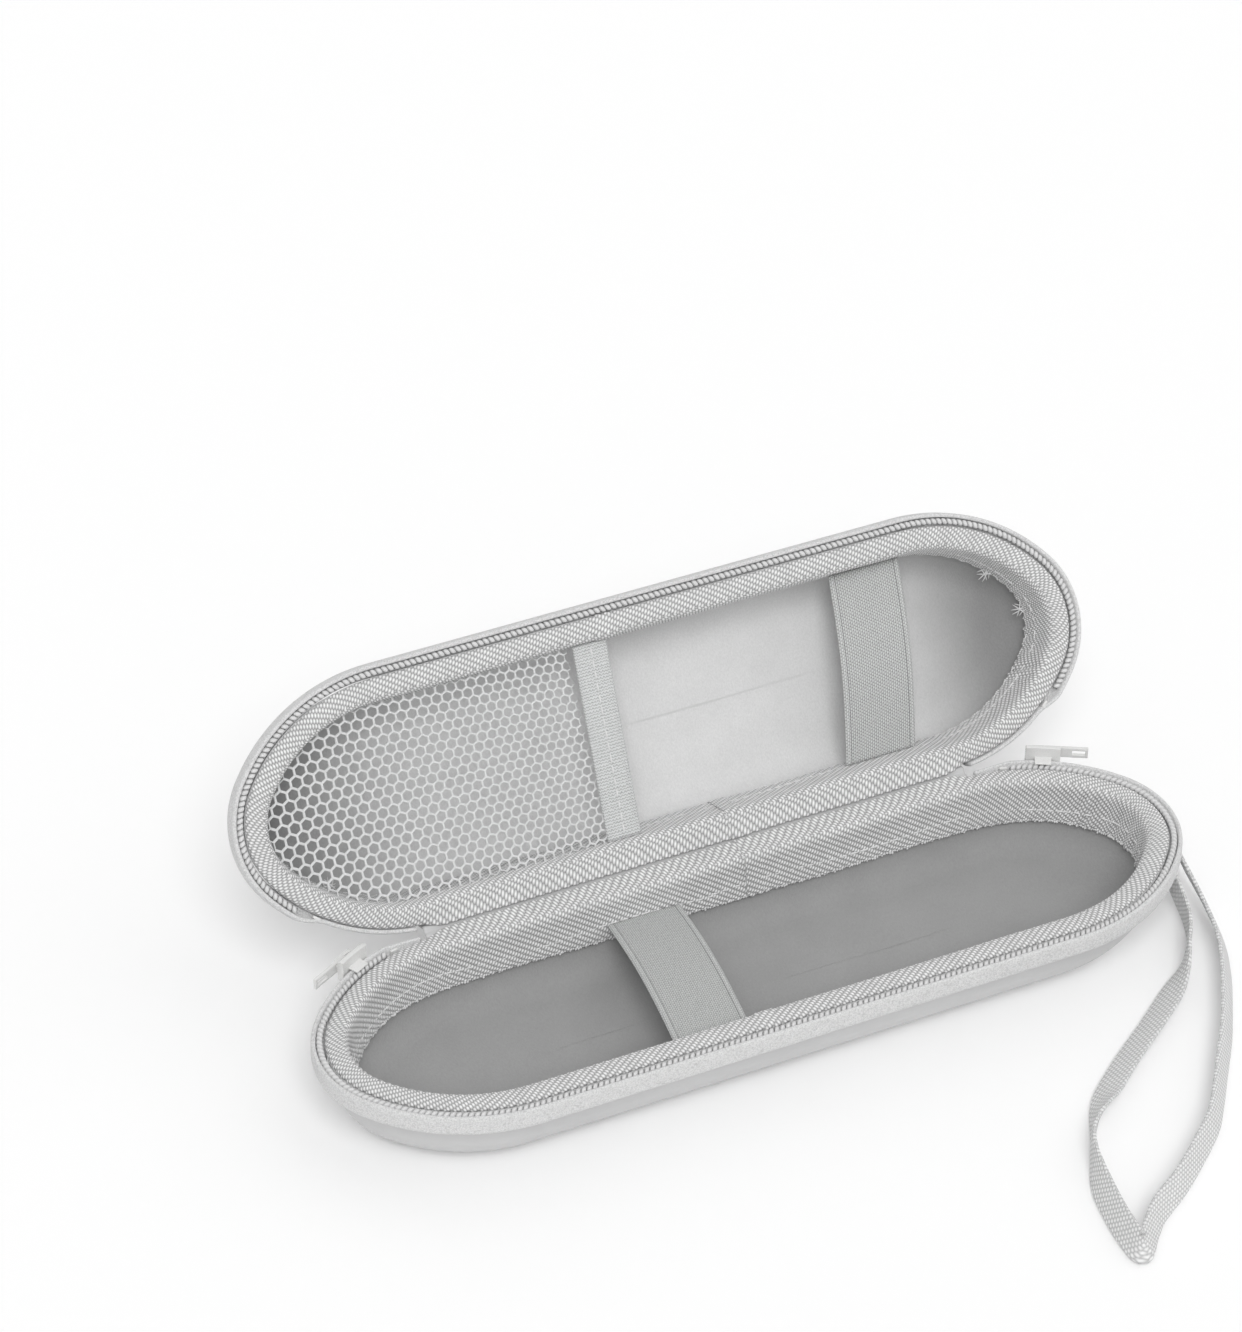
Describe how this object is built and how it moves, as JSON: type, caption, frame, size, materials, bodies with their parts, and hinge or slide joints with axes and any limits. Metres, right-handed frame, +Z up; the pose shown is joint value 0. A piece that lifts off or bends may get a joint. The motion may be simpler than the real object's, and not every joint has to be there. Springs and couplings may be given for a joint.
{
  "type": "electric toothbrush travel case",
  "caption": "Long clamshell travel case with rounded ends: soft-spined lid, zip, elastic straps, net pocket and a wrist strap on a snap hook.",
  "frame": {"origin": "centre of the flat underside of the base, on the table", "axes": "+X along the case towards the end with the wrist strap, +Y towards the spine, +Z up"},
  "size_m": [0.2448, 0.2082, 0.0816],
  "materials": {
    "leatherette": "satin silver-grey coated leatherette with a fine grain",
    "foam": "moulded stiff foam, hidden between the cover and the lining",
    "lining": "brushed mid-grey fabric",
    "tape": "near-white knitted zip tape",
    "coil": "light grey moulded zip coil",
    "binding": "grey herringbone woven binding",
    "elastic": "grey woven elastic",
    "net": "grey knitted net",
    "enamel": "off-white enamelled zip hardware",
    "metal": "bright plated hardware",
    "webbing": "light grey ribbed webbing"
  },
  "bodies": {
    "case_base": {"base_cover": "leatherette", "base_foam_shell": "foam", "base_lining": "lining", "base_binding": "binding", "base_zip_tape": "tape", "base_zip_coil": "coil", "base_zip_stop_right": "enamel", "base_zip_stop_left": "enamel", "base_elastic_strap": "elastic", "spine_cover": "leatherette", "strap_anchor_tab": "webbing"},
    "case_lid": {"lid_cover": "leatherette", "lid_foam_shell": "foam", "lid_lining": "lining", "lid_binding": "binding", "lid_zip_tape": "tape", "lid_zip_coil": "coil", "lid_zip_stop_right": "enamel", "lid_zip_stop_left": "enamel", "lid_elastic_strap": "elastic", "pocket_band": "elastic", "pocket_net": "net"},
    "slider_right": {"zip_slider_right": "enamel"},
    "slider_left": {"zip_slider_left": "enamel"},
    "pull_right": {"zip_pull_right": "enamel"},
    "pull_left": {"zip_pull_left": "enamel"},
    "ring": {"strap_ring": "metal"},
    "hook": {"snap_hook": "metal", "gate_pin": "metal"},
    "gate": {"hook_gate": "metal"},
    "strap_loop": {"strap_sewn_end": "webbing", "wrist_strap": "webbing"}
  },
  "joints": [
    {"name": "lid_hinge", "type": "hinge", "parent": "case_base", "child": "case_lid", "pos_m": [0, 0.0339, 0.025], "axis": [-1, 0, 0], "range_deg": [-125, 55], "deforming": ["spine_cover"]},
    {"name": "slider_right_travel", "type": "hinge", "parent": "case_base", "child": "slider_right", "pos_m": [0.075, -0.015, 0.025], "axis": [0, 0, -1], "range_deg": [0, 19]},
    {"name": "slider_left_travel", "type": "hinge", "parent": "case_base", "child": "slider_left", "pos_m": [-0.075, -0.015, 0.025], "axis": [0, 0, 1], "range_deg": [0, 19]},
    {"name": "pull_right_flip", "type": "hinge", "parent": "slider_right", "child": "pull_right", "pos_m": [0.1013, 0.03216, 0.025], "axis": [0, 0, 1], "range_deg": [0, 90]},
    {"name": "pull_left_flip", "type": "hinge", "parent": "slider_left", "child": "pull_left", "pos_m": [-0.1013, 0.03216, 0.025], "axis": [0, 0, -1], "range_deg": [0, 90]},
    {"name": "ring_swing", "type": "hinge", "parent": "case_base", "child": "ring", "pos_m": [0.08622, 0.03208, 0.0133], "axis": [0, 0, 1], "range_deg": [0, 14]},
    {"name": "hook_swing", "type": "hinge", "parent": "ring", "child": "hook", "pos_m": [0.09522, 0.03208, 0.0133], "axis": [0, 0, 1], "range_deg": [-1, 30]},
    {"name": "gate_open", "type": "hinge", "parent": "hook", "child": "gate", "pos_m": [0.10215, 0.0276, 0.0133], "axis": [0, 0, -1], "range_deg": [0, 20], "stiffness_Nm_per_rad": 0.001},
    {"name": "strap_swing", "type": "hinge", "parent": "hook", "child": "strap_loop", "pos_m": [0.1081, 0.02839, 0.0133], "axis": [0, 0, 1], "range_deg": [-2, 30]}
  ]
}
